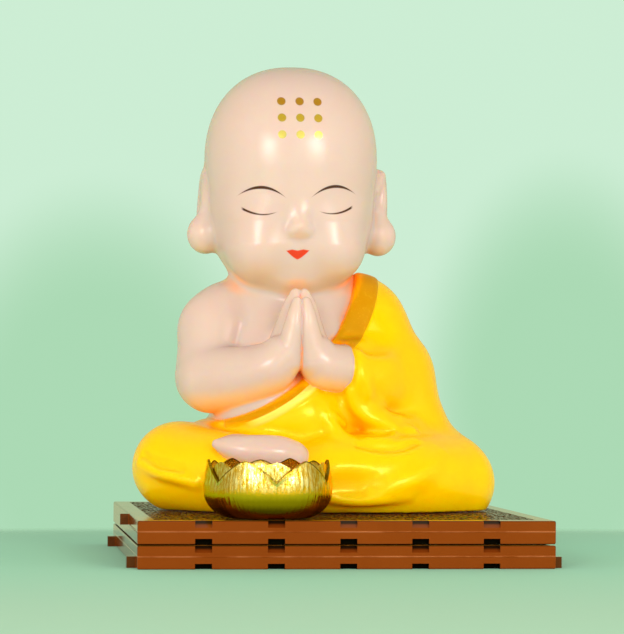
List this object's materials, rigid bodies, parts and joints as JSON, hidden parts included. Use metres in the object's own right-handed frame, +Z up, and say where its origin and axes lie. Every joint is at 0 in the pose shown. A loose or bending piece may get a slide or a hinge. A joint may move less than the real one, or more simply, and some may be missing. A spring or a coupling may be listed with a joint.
{
  "type": "baby monk statue",
  "caption": "Small painted praying baby monk seated cross-legged, with a lotus bowl before it, on a stacked square tile base; stands on a shelf, desk or dashboard.",
  "frame": {"origin": "centre of the lower tile's underside, on the surface the statue stands on", "axes": "+Z up; the monk faces -Y; +X is at the viewer's right"},
  "size_m": [0.1084, 0.1094, 0.1307],
  "materials": {
    "painted_figure": "glossy lacquer over paint: peach skin, yellow robe, ochre collar band",
    "gold_plate": "bright vacuum-plated gold on moulded plastic",
    "brown_plastic": "semi-gloss moulded plastic with a fine leather grain on top"
  },
  "bodies": {
    "root": {"monk_figure": "painted_figure", "lotus_bowl": "gold_plate", "plinth_upper_tile": "brown_plastic", "plinth_lower_tile": "brown_plastic"}
  },
  "joints": []
}
